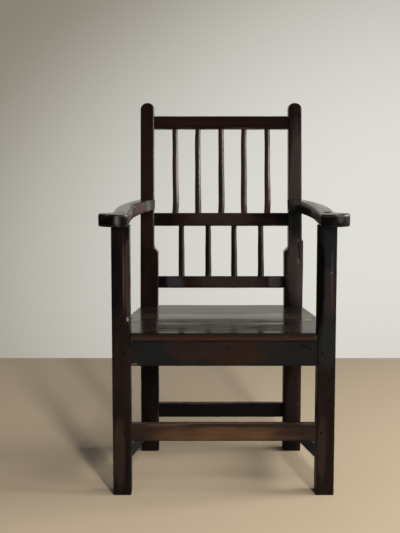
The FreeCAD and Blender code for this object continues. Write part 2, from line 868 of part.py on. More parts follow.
arm_peg, arm_bore = peg_and_bore(
    "arm",
    ("rear_outer_x", f"arm_rear_y + arm_tenon_long * {PEG_SHARE}", "arm_middle"),
    INWARD,
    "(rear_post_slim / 2 + arm_tenon_thick / 2 + peg_past)",
)
cut(
    "right_arm",
    fused("arm_whole", [cut("arm_shouldered", arm, behind_post), arm_tenon]),
    fused("arm_holes", [post_tenon_mortise, arm_bore]),
)

# Rear posts: upright to the seat, raked above it, slimmer above the step, round at the top

rear_post = new_body("rear_post_blank")


def rear_section(name, height, inner_x):
    """The post's level section at a height, moved back by the rake above the seat."""
    shift = f"({height} - seat_height) * tan(rake_angle)" if height != "0" else "0"
    sketch = new_sketch(rear_post, name, "XY_Plane", height)
    sides = (inner_x, "rear_outer_x", f"rear_y + {shift}", f"rear_back_y + {shift}")
    return outline(sketch, eased_rectangle(*sides, "post_arris"))


RAKE = ("0", "tan(rake_angle)", "1")
padded(rear_post, rear_section("rear_leg", "0", "rear_inner_x"), "seat_height")
padded(rear_post, rear_section("rear_kick", "seat_height", "rear_inner_x"), "step_height - seat_height", RAKE)
step_foot = rear_section("rear_step_foot", "step_height", "rear_inner_x")
step_head = rear_section("rear_step_head", "step_height + step_rise", "rear_slim_x")
lofted(rear_post, step_foot, step_head)
upper_run = rear_section("rear_upper", "(step_height + step_rise)", "rear_slim_x")
padded(rear_post, upper_run, "back_height + overrun - step_height - step_rise", RAKE)

crown_z = "back_height - rear_post_slim / 2"
crown = new_sketch(rear_post, "rear_crown", "XZ_Plane")
outline(
    crown,
    [
        ("rear_slim_x - overrun", crown_z),
        ("rear_slim_x", crown_z, "rear_slim_middle_x", "back_height"),
        ("rear_outer_x", crown_z),
        ("rear_outer_x + overrun", crown_z),
        ("rear_outer_x + overrun", "back_height + 2 * overrun"),
        ("rear_slim_x - overrun", "back_height + 2 * overrun"),
    ],
)
pocketed(rear_post, crown)

# Rails and sticks of the back, drawn upright and then set in the raked plane

BACK_PEG_LONG = "(back_rail_setback + back_rail_thick + peg_past)"
BACK_RAILS = {
    "top_rail": ("rear_slim_x", "top_rail_up", "back_rail_tall"),
    "middle_rail": ("rear_slim_x", "middle_rail_up", "back_rail_tall"),
    "lower_rail": ("rear_inner_x", "lower_rail_up", "lower_rail_tall"),
}
UPPER_STICK_COUNT = 5
LOWER_STICK_COUNT = 4
STICK_ROWS = {
    "upper": (UPPER_STICK_COUNT, "upper_stick_pitch", "middle_rail_up + back_rail_tall", "top_rail_up"),
    "lower": (LOWER_STICK_COUNT, "lower_stick_pitch", "lower_rail_up + lower_rail_tall", "middle_rail_up"),
}
# Which rail takes the foot and which the head of each row of sticks
ROW_RAILS = {"upper": ("middle_rail", "top_rail"), "lower": ("lower_rail", "middle_rail")}

stick_holes = {name: [] for name in BACK_RAILS}
for row_name, (count, pitch, foot, head) in STICK_ROWS.items():
    foot_rail, head_rail = ROW_RAILS[row_name]
    for number in range(1, count + 1):
        name = f"{row_name}_stick_{number}"
        x = f"({number} - {(count + 1) / 2}) * {pitch}"
        stick = new_body(name + "_shaft")
        low = new_sketch(stick, name + "_foot", "XY_Plane", foot)
        outline(low, octagon(x, "back_rail_middle", "stick_foot_wide"))
        high = new_sketch(stick, name + "_head", "XY_Plane", head)
        outline(high, octagon(x, "back_rail_middle", "stick_head_wide"))
        lofted(stick, low, high)
        stub_start = (x, "back_rail_middle", f"{foot} - stick_tenon_long")
        stub_length = f"{head} - ({foot}) + 2 * stick_tenon_long"
        stub = shaved_rod(name + "_stubs", stub_start, "stick_tenon_wide", stub_length, UPWARD)
        raked(fused(name, [stick, stub]))
        hole_wide = "stick_tenon_wide + 2 * mortise_fit"
        hole_long = "stick_tenon_long + mortise_spare + overrun"
        foot_start = (x, "back_rail_middle", f"{foot} - stick_tenon_long - mortise_spare")
        head_start = (x, "back_rail_middle", f"{head} - overrun")
        for rail, end, start in ((foot_rail, "_foot", foot_start), (head_rail, "_head", head_start)):
            hole = round_hole(name + end + "_hole", start, hole_wide, hole_long, UPWARD)
            stick_holes[rail].append(hole)

back_pegs = []
rear_post_cutters = []
for name, (half, up, tall) in BACK_RAILS.items():
    blank, mortise, (peg_x, peg_z) = cross_bar(
        name, half, "back_rail_setback", "back_rail_thick", up, tall, BACK_TENON
    )
    peg, bore = peg_and_bore(name, (peg_x, "0", peg_z), BACKWARD, BACK_PEG_LONG)
    raked(finished_bar(name, blank, bore, stick_holes[name]))
    back_pegs.append(peg)
    rear_post_cutters += [mortise, bore]

rear_post_holes = fused(
    "rear_post_holes",
    [
        rear_rail_mortise,
        rear_bar_mortise,
        side_rail_mortises,
        side_stretcher_mortises,
        arm_mortise,
        rear_rail_bore,
        rear_bar_bore,
        side_bores["side_rail_rear"],
        side_bores["side_stretcher_rear"],
        arm_bore,
    ],
)
back_holes = raked(fused("back_holes", rear_post_cutters))
cut("right_rear_post", cut("rear_post_lower", rear_post, rear_post_holes), back_holes)

# Left-hand pieces, and the pegs of each part of the frame as one group of separate solids

PAIRS = ["front_post", "rear_post", "arm", "seat_rail", "stretcher"]
for piece in PAIRS:
    mirrored("left_" + piece, doc.getObject("right_" + piece))


PEG_GROUPS = {
    "front_frame_pegs": [front_rail_peg, front_bar_peg],
    "rear_frame_pegs": [rear_rail_peg, rear_bar_peg],
    "side_frame_pegs": list(side_pegs.values()),
    "seat_pegs": list(seat_pegs.values()),
    "arm_pegs": [arm_peg],
    "back_pegs": back_pegs,
}
for name, pegs in PEG_GROUPS.items():
    group(name, [*pegs, *(mirrored(peg.Name + "_left", peg) for peg in pegs)])
raked(doc.getObject("back_pegs"))

# Every node, with how many solids it holds
SINGLES = [
    "front_seat_rail",
    "rear_seat_rail",
    "front_stretcher",
    "rear_stretcher",
    "front_seat_board",
    "middle_seat_board",
    "rear_seat_board",
    *BACK_RAILS,
]
STICKS = [f"{row}_stick_{n}" for row, (count, *_) in STICK_ROWS.items() for n in range(1, count + 1)]
nodes = {f"{side}_{piece}": 1 for piece in PAIRS for side in ("right", "left")}
nodes.update({name: 1 for name in SINGLES + STICKS})
nodes.update({name: len(doc.getObject(name).Links) for name in PEG_GROUPS})

doc.recompute()
for item in doc.Objects:
    faults = {"Invalid", "Error"} & set(item.State)
    if faults:
        raise RuntimeError(f"{item.Name} did not build: {faults}")

os.makedirs("parts", exist_ok=True)
for name, solids in nodes.items():
    shape = doc.getObject(name).Shape
    if shape.isNull() or not shape.isValid() or len(shape.Solids) != solids:
        raise RuntimeError(f"{name} has {len(shape.Solids)} solids, valid {shape.isValid()}")
    shape.exportStep(f"parts/{name}.step")
print(f"{len(nodes)} nodes, {sum(nodes.values())} solids")
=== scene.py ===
# %% [markdown]
# A joined oak armchair, some three hundred years old: square posts, boarded
# seat, flat sweeping arms and an open back of shaved sticks. Its joints and
# sizes come from the construction model, which is loaded as a fixed frame. This
# lesson gives each timber its age: edges rubbed round, flats that are no longer
# quite flat, cracks, and a dark waxed surface.

# %% Load the construction model
import math

import bmesh
import bpy
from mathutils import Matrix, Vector
from mathutils.bvhtree import BVHTree
from mathutils.kdtree import KDTree


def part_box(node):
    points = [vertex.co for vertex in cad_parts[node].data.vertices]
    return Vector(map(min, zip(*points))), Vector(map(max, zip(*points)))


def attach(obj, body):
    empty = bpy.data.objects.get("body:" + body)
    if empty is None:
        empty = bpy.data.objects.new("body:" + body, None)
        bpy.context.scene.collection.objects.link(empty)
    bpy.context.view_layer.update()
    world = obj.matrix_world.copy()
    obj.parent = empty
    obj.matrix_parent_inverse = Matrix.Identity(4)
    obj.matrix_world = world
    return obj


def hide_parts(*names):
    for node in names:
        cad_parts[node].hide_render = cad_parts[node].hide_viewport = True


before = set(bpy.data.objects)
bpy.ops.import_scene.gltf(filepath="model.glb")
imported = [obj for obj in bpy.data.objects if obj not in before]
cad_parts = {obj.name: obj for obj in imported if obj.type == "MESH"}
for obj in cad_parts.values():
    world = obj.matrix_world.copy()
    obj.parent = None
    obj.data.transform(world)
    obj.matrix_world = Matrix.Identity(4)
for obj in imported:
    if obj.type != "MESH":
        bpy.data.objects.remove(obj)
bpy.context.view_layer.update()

# %% [markdown]
# The view is that of someone who stands a little to the left of the chair's
# middle, with the eye just above the back. The camera was fitted to the straight
# edges of the chair. It has no turn and no lean, only a slight look down.

# %% Camera
EYE = (-0.0606, -3.3742, 1.0223)
LOOK_DOWN = math.radians(7.775)
LENS = 84.43
FILM_WIDTH = 36
bpy.ops.object.select_all(action="DESELECT")
bpy.ops.object.camera_add(location=EYE, rotation=(math.pi / 2 - LOOK_DOWN, 0, 0))
camera = bpy.context.object
camera.data.lens = LENS
camera.data.sensor_width = FILM_WIDTH
bpy.context.scene.camera = camera
bpy.context.scene.view_settings.view_transform = "Standard"
print("camera at", EYE)

# %% [markdown]
# Floor, room and wood are all painted with nodes, so a few small helpers come
# first: an empty material, steps of arithmetic, and a mix of two colours. In each
# of them a value is either written out or taken from another node.

# %% Helpers for nodes
def new_material(name):
    """A node material with only its surface shader in it."""
    material = bpy.data.materials.new(name)
    material.use_nodes = True
    tree = material.node_tree
    return material, tree, tree.nodes["Principled BSDF"]


def maths_in(tree):
    """A short way to place Math nodes in one tree."""
    def maths(kind, first, second=None, third=None, clamp=False):
        step = tree.nodes.new("ShaderNodeMath")
        step.operation = kind
        step.use_clamp = clamp
        for index, value in enumerate((first, second, third)):
            if isinstance(value, (int, float)):
                step.inputs[index].default_value = value
            elif value is not None:
                tree.links.new(value, step.inputs[index])
        return step.outputs[0]
    return maths


def blended(tree, kind, amount, first, second):
    """A mix of two colours."""
    mix = tree.nodes.new("ShaderNodeMix")
    mix.data_type = "RGBA"
    mix.blend_type = kind
    tree.links.new(amount, mix.inputs["Factor"])
    for name, colour in (("A", first), ("B", second)):
        if isinstance(colour, tuple):
            mix.inputs[name].default_value = colour
        else:
            tree.links.new(colour, mix.inputs[name])
    return mix.outputs["Result"]


print("helpers are ready")

# %% [markdown]
# A plain pale floor catches the shadow, and stops where a wall would stand. The
# wall itself is only the colour of the world, so that nothing hides the chair
# from behind. The polish sees the floor as it lies in the chair's own shade, so
# mirrored rays meet a darker grey than the camera does.

# %% Floor
FLOOR_BACK = 1.45
FLOOR_FRONT = -6
FLOOR_SIDE = 4
FLOOR_COLOUR = (0.60, 0.48, 0.335, 1)
FLOOR_MIRRORED = (0.16, 0.15, 0.14, 1)
FLOOR_ROUGHNESS = 0.75
FLOOR_SHINE = 0.2

bpy.ops.mesh.primitive_plane_add(size=1)
floor = bpy.context.object
floor.name = "floor"
floor.scale = (2 * FLOOR_SIDE, FLOOR_BACK - FLOOR_FRONT, 1)
floor.location = (0, (FLOOR_BACK + FLOOR_FRONT) / 2, 0)
bpy.ops.object.transform_apply(location=True, rotation=False, scale=True)
floor_paint, floor_tree, floor_shader = new_material("pale_floor")
mirrored_ray = floor_tree.nodes.new("ShaderNodeLightPath").outputs["Is Glossy Ray"]
floor_tone = blended(floor_tree, "MIX", mirrored_ray, FLOOR_COLOUR, FLOOR_MIRRORED)
floor_tree.links.new(floor_tone, floor_shader.inputs["Base Color"])
floor_shader.inputs["Roughness"].default_value = FLOOR_ROUGHNESS
floor_shader.inputs["Specular IOR Level"].default_value = FLOOR_SHINE
floor.data.materials.append(floor_paint)
print("floor ends at", FLOOR_BACK)

# %% [markdown]
# Waxed wood shows its surroundings. Behind the chair is a pale wall, brighter to
# the right and low down, where the daylight falls on it. The polish on the seat
# and the arms mirrors that wall. In front of the chair is only the dim room,
# which keeps the upright faces nearly black. The world therefore has three
# colours: what the camera sees, what the polish sees, and the little light that
# fills the shadows.

# %% The room
WALL_DIM = (0.252, 0.225, 0.176, 1)
WALL_LIT = (0.763, 0.754, 0.702, 1)
ROOM_DIM = (0.020, 0.023, 0.030, 1)
FILL_COLOUR = (0.92, 0.95, 1.0, 1)
FILL_STRENGTH = 0.14

# How well lit the wall is in the direction of a ray: 0 is dim and 1 is lit.
LIT_AHEAD = 0.630
LIT_RIGHTWARD = 2.64
LIT_RIGHT_FADE = -6.6
LIT_UPWARD = -3.20
LIT_UP_FADE = -13.5
LIT_UP_AND_RIGHT = 4.58
SOFT_DIM_END = 0.4
SOFT_LIT_END = 0.2
LEAST_MIRRORED = 0.42

# How much of a mirrored ray meets the wall, and not the dim room.
WALL_BACKWARD = 1.7
WALL_RIGHTWARD = 0.4
WALL_LEFT_LOSS = 1.6

world = bpy.data.worlds.new("room")
bpy.context.scene.world = world
world.use_nodes = True
air = world.node_tree
air.nodes.clear()
air_maths = maths_in(air)


def background(colour, strength=1.0):
    """Plain light of one colour from all round."""
    paint = air.nodes.new("ShaderNodeBackground")
    paint.inputs["Strength"].default_value = strength
    if isinstance(colour, tuple):
        paint.inputs["Color"].default_value = colour
    else:
        air.links.new(colour, paint.inputs["Color"])
    return paint.outputs[0]


def choose(when, otherwise, then):
    """One of two lights, by what kind of ray asks."""
    mix = air.nodes.new("ShaderNodeMixShader")
    air.links.new(when, mix.inputs["Fac"])
    air.links.new(otherwise, mix.inputs[1])
    air.links.new(then, mix.inputs[2])
    return mix.outputs[0]


look = air.nodes.new("ShaderNodeTexCoord")
way = air.nodes.new("ShaderNodeSeparateXYZ")
air.links.new(look.outputs["Generated"], way.inputs[0])
right, back, up = (way.outputs[axis] for axis in ("X", "Y", "Z"))
across = air_maths("MULTIPLY_ADD", right, LIT_RIGHT_FADE, LIT_RIGHTWARD)
lit = air_maths("MULTIPLY_ADD", right, across, LIT_AHEAD)
upward = air_maths("MULTIPLY_ADD", right, LIT_UP_AND_RIGHT, LIT_UPWARD)
upward = air_maths("MULTIPLY_ADD", up, LIT_UP_FADE, upward)
lit = air_maths("MULTIPLY_ADD", up, upward, lit)
lit = air_maths("SMOOTH_MAX", lit, 0.0, SOFT_DIM_END)
lit = air_maths("SMOOTH_MIN", lit, 1.0, SOFT_LIT_END)
wall_colour = blended(air, "MIX", lit, WALL_DIM, WALL_LIT)
behind = air_maths("MULTIPLY", back, WALL_BACKWARD)
behind = air_maths("MULTIPLY_ADD", right, WALL_RIGHTWARD, behind)
leftward = air_maths("MINIMUM", right, 0.0)
behind = air_maths("MULTIPLY_ADD", leftward, WALL_LEFT_LOSS, behind)
behind = air_maths("MINIMUM", air_maths("MAXIMUM", behind, 0.0), 1.0)
lit_enough = air_maths("MAXIMUM", lit, LEAST_MIRRORED)
mirrored_wall = blended(air, "MIX", lit_enough, WALL_DIM, WALL_LIT)
mirrored = blended(air, "MIX", behind, ROOM_DIM, mirrored_wall)
rays = air.nodes.new("ShaderNodeLightPath")
surroundings = choose(
    rays.outputs["Is Glossy Ray"],
    background(FILL_COLOUR, FILL_STRENGTH),
    background(mirrored),
)
surroundings = choose(rays.outputs["Is Camera Ray"], surroundings, background(wall_colour))
out = air.nodes.new("ShaderNodeOutputWorld")
air.links.new(surroundings, out.inputs["Surface"])
print("room with", len(air.nodes), "nodes")

# %% [markdown]
# Three lamps light the chair, all from the right of the view. A tall narrow one
# stands far in front, lights the floor and throws the long shadows of the legs
# back and to the left. The polish is not shown it, or a grey streak would hang in
# every face that leans back. A wide lamp nearer by softens those shadows, and
# lies as a broad sheen on the seat for someone behind the chair. A window to the
# right draws the bright edges down the sticks and the scooped post.

# %% Lamps
CHAIR_MIDDLE = Vector((0, 0, 0.5))


def soft_lamp(name, place, wide, tall, power, colour, mirrored=True):
    """A flat lamp that faces the middle of the chair."""
    bpy.ops.object.select_all(action="DESELECT")
    bpy.ops.object.light_add(type="AREA", location=place)
    lamp = bpy.context.object
    lamp.name = name
    lamp.rotation_euler = (CHAIR_MIDDLE - Vector(place)).to_track_quat("-Z", "Y").to_euler()
    lamp.data.shape = "RECTANGLE"
    lamp.data.size = wide
    lamp.data.size_y = tall
    lamp.data.energy = power
    lamp.data.color = colour
    lamp.visible_glossy = mirrored
    print(name, "of", power, "watts at", place)


soft_lamp(
    "tall_lamp", place=(1.05, -4.37, 2.9), wide=0.30, tall=3.4, power=155,
    colour=(1.0, 0.97, 0.93), mirrored=False,
)
soft_lamp(
    "near_lamp", place=(2.4, -2.3, 2.4), wide=1.6, tall=3.0, power=34,
    colour=(1.0, 0.98, 0.95),
)
soft_lamp(
    "window", place=(3.0, -0.1, 1.6), wide=1.6, tall=1.3, power=84,
    colour=(1.0, 0.985, 0.96),
)

# %% [markdown]
# Oak shows long pale and dark streaks along the grain, short dark pores, and, at this age,
# clouds of old polish. One group of nodes makes all three from a place in the wood, stretched
# along the grain, so every piece is of the same oak. Only the direction of the grain and the
# colours differ from piece to piece. Each mesh carries two values: arris says where its edges
# are, where the polish is rubbed thin, and crack says where it has opened. There the colour is
# nearly black: dirt, and painted shade for the depth of the crack.

# %% Aged oak, as a group of nodes
PORE_TINT = (0.25, 0.2, 0.2, 1)
PORE_SHARE = 0.45
# a crack's colour: dirt, and painted shade for its depth
CRACK_DIRT_AND_SHADE = (0.0012, 0.0010, 0.0010, 1)

# How much of a rubbed edge turns bare: its start, its unevenness and its sharpness.
BARE_START = 1.3
BARE_UNEVEN = 1.1
BARE_SHARP = 2.6

# What each pattern adds to the roughness and to the height.
SMEAR_ROUGHNESS, PORE_ROUGHNESS, CRACK_ROUGHNESS = 0.10, 0.12, 0.5
STREAK_HEIGHT, PORE_HEIGHT, SMEAR_HEIGHT = 0.35, -0.5, 0.5


def new_group(name, colours=(), numbers=(), vectors=(), results=()):
    """An empty group with named inputs and outputs."""
    group = bpy.data.node_groups.new(name, "ShaderNodeTree")
    for word in vectors:
        group.interface.new_socket(word, in_out="INPUT", socket_type="NodeSocketVector")
    for kind, rows in (("NodeSocketColor", colours), ("NodeSocketFloat", numbers)):
        for word, value in rows:
            item = group.interface.new_socket(word, in_out="INPUT", socket_type=kind)
            item.default_value = value
    for word, kind in results:
        group.interface.new_socket(word, in_out="OUTPUT", socket_type=kind)
    nodes = group.nodes
    return group, nodes.new("NodeGroupInput"), nodes.new("NodeGroupOutput")


def aged_oak_group():
    """Colour, roughness and height of old oak at a point given along its grain."""
    group, given, result = new_group(
        "aged_oak",
        vectors=("Along",),
        colours=(
            ("Dark", (0.0035, 0.0024, 0.0022, 1)),
            ("Brown", (0.022, 0.0088, 0.0055, 1)),
            ("Bare", (0.12, 0.07, 0.045, 1)),
            ("Rubbed", (0.09, 0.045, 0.022, 1)),
        ),
        numbers=(
            ("Arris", 0.0), ("Crack", 0.0), ("Bareness", 0.5), ("Rub", 0.0), ("Gloss", 0.36),
        ),
        results=(
            ("Color", "NodeSocketColor"),
            ("Roughness", "NodeSocketFloat"),
            ("Height", "NodeSocketFloat"),
        ),
    )
    nodes, links = group.nodes, group.links
    maths = maths_in(group)

    def stretched_noise(scale, squeeze, detail, low, high):
        """Noise drawn out along the grain, spread over 0 to 1 between two levels."""
        stretch = nodes.new("ShaderNodeMapping")
        stretch.inputs["Scale"].default_value = (1, 1, squeeze)
        links.new(given.outputs["Along"], stretch.inputs["Vector"])
        wood = nodes.new("ShaderNodeTexNoise")
        wood.inputs["Scale"].default_value = scale
        wood.inputs["Detail"].default_value = detail
        links.new(stretch.outputs["Vector"], wood.inputs["Vector"])
        spread = nodes.new("ShaderNodeMapRange")
        spread.inputs["From Min"].default_value = low
        spread.inputs["From Max"].default_value = high
        links.new(wood.outputs["Fac"], spread.inputs["Value"])
        return spread.outputs["Result"]

    streaks = stretched_noise(scale=85, squeeze=0.05, detail=5, low=0.30, high=0.70)
    pores = stretched_noise(scale=460, squeeze=0.035, detail=2, low=0.58, high=0.70)
    clouds = stretched_noise(scale=13, squeeze=0.35, detail=3, low=0.25, high=0.75)
    smears = stretched_noise(scale=40, squeeze=0.22, detail=4, low=0.35, high=0.65)

    brownness = maths("MULTIPLY", clouds, maths("MULTIPLY_ADD", streaks, 0.6, 0.4))
    wood = blended(group, "MIX", brownness, given.outputs["Dark"], given.outputs["Brown"])
    rubbed = maths("MULTIPLY", given.outputs["Rub"], maths("MULTIPLY_ADD", smears, 0.5, 0.5))
    wood = blended(group, "MIX", rubbed, wood, given.outputs["Rubbed"])
    edge = maths("SUBTRACT", given.outputs["Arris"], BARE_START)
    edge = maths("MULTIPLY_ADD", smears, BARE_UNEVEN, edge)
    edge = maths("MULTIPLY", edge, BARE_SHARP, clamp=True)
    bare = maths("MULTIPLY", edge, given.outputs["Bareness"])
    wood = blended(group, "MIX", bare, wood, given.outputs["Bare"])
    wood = blended(group, "MULTIPLY", maths("MULTIPLY", pores, PORE_SHARE), wood, PORE_TINT)
    wood = blended(group, "MIX", given.outputs["Crack"], wood, CRACK_DIRT_AND_SHADE)
    links.new(wood, result.inputs["Color"])

    rough = maths("MULTIPLY_ADD", smears, SMEAR_ROUGHNESS, given.outputs["Gloss"])
    rough = maths("MULTIPLY_ADD", pores, PORE_ROUGHNESS, rough)
    rough = maths("MULTIPLY_ADD", given.outputs["Crack"], CRACK_ROUGHNESS, rough)
    links.new(rough, result.inputs["Roughness"])
    height = maths("MULTIPLY", pores, PORE_HEIGHT)
    height = maths("MULTIPLY_ADD", streaks, STREAK_HEIGHT, height)
    height = maths("MULTIPLY_ADD", smears, SMEAR_HEIGHT, height)
    links.new(height, result.inputs["Height"])
    return group


AGED_OAK = aged_oak_group()
print("node group", AGED_OAK.name, "with", len(AGED_OAK.nodes), "nodes")

# %% [markdown]
# Wear also has places of its own: a bar rubbed by feet, the end grain of a tenon
# in an arm, a chip that shows pale wood. A second group gives a soft ragged patch
# of a given size round a given place.

# %% One worn place, as a group of nodes
RAGGED_SCALE = 2.2
RAGGED_DETAIL = 3


def worn_place_group():
    """A mask that is 1 well inside an egg-shaped place and 0 outside it."""
    group, given, result = new_group(
        "worn_place",
        vectors=("Point", "Place", "Size"),
        numbers=(("Ragged", 0.5), ("Sharpness", 2.5)),
        results=(("Mask", "NodeSocketFloat"),),
    )
    nodes, links = group.nodes, group.links
    maths = maths_in(group)
    offset = nodes.new("ShaderNodeVectorMath")
    offset.operation = "SUBTRACT"
    links.new(given.outputs["Point"], offset.inputs[0])
    links.new(given.outputs["Place"], offset.inputs[1])
    local = nodes.new("ShaderNodeVectorMath")
    local.operation = "DIVIDE"
    links.new(offset.outputs[0], local.inputs[0])
    links.new(given.outputs["Size"], local.inputs[1])
    reach = nodes.new("ShaderNodeVectorMath")
    reach.operation = "LENGTH"
    links.new(local.outputs[0], reach.inputs[0])
    uneven = nodes.new("ShaderNodeTexNoise")
    uneven.inputs["Scale"].default_value = RAGGED_SCALE
    uneven.inputs["Detail"].default_value = RAGGED_DETAIL
    links.new(local.outputs[0], uneven.inputs["Vector"])
    wobble = maths("SUBTRACT", uneven.outputs["Fac"], 0.5)
    wobble = maths("MULTIPLY", wobble, given.outputs["Ragged"])
    inside = maths("SUBTRACT", 1.0, maths("ADD", reach.outputs["Value"], wobble))
    mask = maths("MULTIPLY", inside, given.outputs["Sharpness"], clamp=True)
    links.new(mask, result.inputs["Mask"])
    return group


WORN_PLACE = worn_place_group()
print("node group", WORN_PLACE.name, "with", len(WORN_PLACE.nodes), "nodes")

# %% [markdown]
# Each finish places the oak, turns the grain the way the piece was sawn, and
# gives its own colours and worn places. The posts and sticks have upright grain,
# the rails and boards grain from side to side, and the arms and side bars from
# front to back.

# %% A finish from the two groups
UPRIGHT = (0, 0, 0)
ACROSS = (0, math.radians(90), 0)
BACKWARD = (math.radians(90), 0, 0)
RELIEF_DEPTH = 0.0004


def worn_place(tree, point, place, size, ragged=0.5, sharpness=2.5):
    """The mask of one worn place in a material."""
    patch = tree.nodes.new("ShaderNodeGroup")
    patch.node_tree = WORN_PLACE
    tree.links.new(point, patch.inputs["Point"])
    patch.inputs["Place"].default_value = place
    patch.inputs["Size"].default_value = size
    patch.inputs["Ragged"].default_value = ragged
    patch.inputs["Sharpness"].default_value = sharpness
    return patch.outputs["Mask"]


def oak(name, grain, bump=0.3, ior=1.4, rub=None, places=(), sheens=(), **values):
    """An oak finish.

    Each of places is (place, size, colour, share), each of sheens (place, size,
    roughness). Rub is the place where the colour named Rubbed shows.
    """
    material, tree, shader = new_material(name)
    nodes, links = tree.nodes, tree.links
    spot = nodes.new("ShaderNodeTexCoord").outputs["Object"]
    turn = nodes.new("ShaderNodeMapping")
    turn.inputs["Rotation"].default_value = grain
    links.new(spot, turn.inputs["Vector"])
    wood = nodes.new("ShaderNodeGroup")
    wood.node_tree = AGED_OAK
    links.new(turn.outputs["Vector"], wood.inputs["Along"])
    for word, carried in (("Arris", "arris"), ("Crack", "crack")):
        carrier = nodes.new("ShaderNodeAttribute")
        carrier.attribute_name = carried
        links.new(carrier.outputs["Fac"], wood.inputs[word])
    for word, value in values.items():
        wood.inputs[word].default_value = value
    if rub:
        links.new(worn_place(tree, spot, *rub), wood.inputs["Rub"])
    colour = wood.outputs["Color"]
    maths = maths_in(tree)
    for place, size, tint, share in places:
        mask = maths("MULTIPLY", worn_place(tree, spot, place, size), share)
        colour = blended(tree, "MIX", mask, colour, tint)
    links.new(colour, shader.inputs["Base Color"])
    rough = wood.outputs["Roughness"]
    for place, size, amount in sheens:
        mask = worn_place(tree, spot, place, size)
        keep = maths("MULTIPLY", rough, maths("SUBTRACT", 1.0, mask))
        rough = maths("MULTIPLY_ADD", mask, amount, keep)
    links.new(rough, shader.inputs["Roughness"])
    relief = nodes.new("ShaderNodeBump")
    relief.inputs["Strength"].default_value = bump
    relief.inputs["Distance"].default_value = RELIEF_DEPTH
    links.new(wood.outputs["Height"], relief.inputs["Height"])
    links.new(relief.outputs["Normal"], shader.inputs["Normal"])
    shader.inputs["IOR"].default_value = ior
    return material


print("finishes take grain turned by", UPRIGHT, ACROSS, BACKWARD)

# %% [markdown]
# The frame of this chair is nearly black with polish, and brown where it has thinned; its
# blue-black patches are a painted reflection of the daylight, and a few places carry painted
# shade or painted highlights. Hands have rubbed the arms, and their grey lights are painted
# highlights. The seat is a brown satin that mirrors the wall, in bands that follow its boards:
# these bands are painted reflection, pale where a board mirrors the wall and dark where it has
# tilted away from it. Feet have bared the warm wood of the front stretcher. Each of these is a
# place on the chair, with its centre and size in metres.

# %% The finishes
NEAR_BLACK = (0.0015, 0.0013, 0.0012, 1)
# blue-black: a painted reflection of the bluish daylight, where the polish would mirror it
BLUE_BLACK_REFLECTION = (0.0095, 0.0103, 0.0125, 1)
WORN_BROWN = (0.027, 0.013, 0.0085, 1)
DUSTY_BROWN = (0.045, 0.035, 0.032, 1)
PALE_CHIP = (0.20, 0.185, 0.165, 1)
ALL = 9  # metres: a size that takes in the whole chair
TENON_SPOT = (0.012, 0.020, 0.004)

POST_OAK = oak(
    "post_oak", UPRIGHT, bump=0.15, Gloss=0.20,
    places=(
        # the right front post: a blue-black painted reflection, brown, greenish, and painted
        # shade in the scoop, which faces away from the light
        ((0.2620, -0.254, 0.645), (0.035, 0.02, 0.110), BLUE_BLACK_REFLECTION, 0.9),
        ((0.2640, -0.254, 0.520), (0.026, 0.02, 0.080), (0.030, 0.0205, 0.0185, 1), 0.6),
        ((0.2620, -0.254, 0.400), (0.032, 0.02, 0.085), (0.0135, 0.0150, 0.0140, 1), 0.85),
        ((0.2390, -0.245, 0.560), (0.020, 0.060, 0.190), NEAR_BLACK, 1.0),
        # the right rear post: dusty, with a blue-black painted reflection below the arm
        ((0.2150, 0.180, 0.660), (0.030, 0.12, 0.360), DUSTY_BROWN, 0.7),
        ((0.2150, 0.160, 0.530), (0.032, 0.05, 0.110), (0.062, 0.048, 0.044, 1), 0.85),
        ((0.2070, 0.180, 0.665), (0.030, 0.03, 0.045), BLUE_BLACK_REFLECTION, 0.8),
        # the left rear post: red-brown
        ((-0.2150, 0.200, 0.780), (0.030, 0.10, 0.250), (0.020, 0.0078, 0.0055, 1), 0.7),
        # the left front post: black outside, brown in the scoop, with a painted highlight down
        # the scoop's front edge and a painted highlight where the scoop stops
        ((-0.2740, -0.254, 0.570), (0.017, 0.02, 0.150), NEAR_BLACK, 0.8),
        ((-0.2440, -0.246, 0.570), (0.009, 0.014, 0.130), WORN_BROWN, 0.9),
        ((-0.2538, -0.254, 0.570), (0.0024, 0.003, 0.120), (0.075, 0.052, 0.042, 1), 0.6),
        ((-0.2450, -0.236, 0.460), (0.005, 0.020, 0.012), (0.62, 0.52, 0.45, 1), 0.9),
        # browner feet
        ((0.2150, 0.160, 0.150), (0.030, 0.06, 0.150), (0.036, 0.022, 0.016, 1), 0.7),
        ((-0.2700, -0.254, 0.110), (0.022, 0.02, 0.110), (0.038, 0.021, 0.014, 1), 0.7),
        ((0.2520, -0.254, 0.120), (0.014, 0.02, 0.100), (0.034, 0.021, 0.016, 1), 0.6),
        # a dusty streak and small chips on the right
        ((0.2730, -0.254, 0.570), (0.0040, 0.01, 0.080), (0.045, 0.036, 0.032, 1), 0.6),
        ((0.2710, -0.254, 0.581), (0.0022, 0.01, 0.0022), PALE_CHIP, 0.7),
        ((0.2215, 0.175, 0.613), (0.0030, 0.01, 0.005), PALE_CHIP, 0.5),
        ((0.2250, 0.152, 0.140), (0.0025, 0.01, 0.003), PALE_CHIP, 0.3),
        # the ends of the tenons that come up through the arms
        ((0.2615, -0.219, 0.729), TENON_SPOT, NEAR_BLACK, 1.0),
        ((-0.2615, -0.219, 0.729), TENON_SPOT, (0.075, 0.060, 0.048, 1), 1.0),
    ),
    sheens=(
        # both tenons, and the dull hollow of the right scoop
        ((0.2615, -0.219, 0.729), TENON_SPOT, 0.9),
        ((-0.2615, -0.219, 0.729), TENON_SPOT, 0.3),
        ((0.2380, -0.235, 0.560), (0.007, 0.060, 0.220), 0.9),
    ),
)
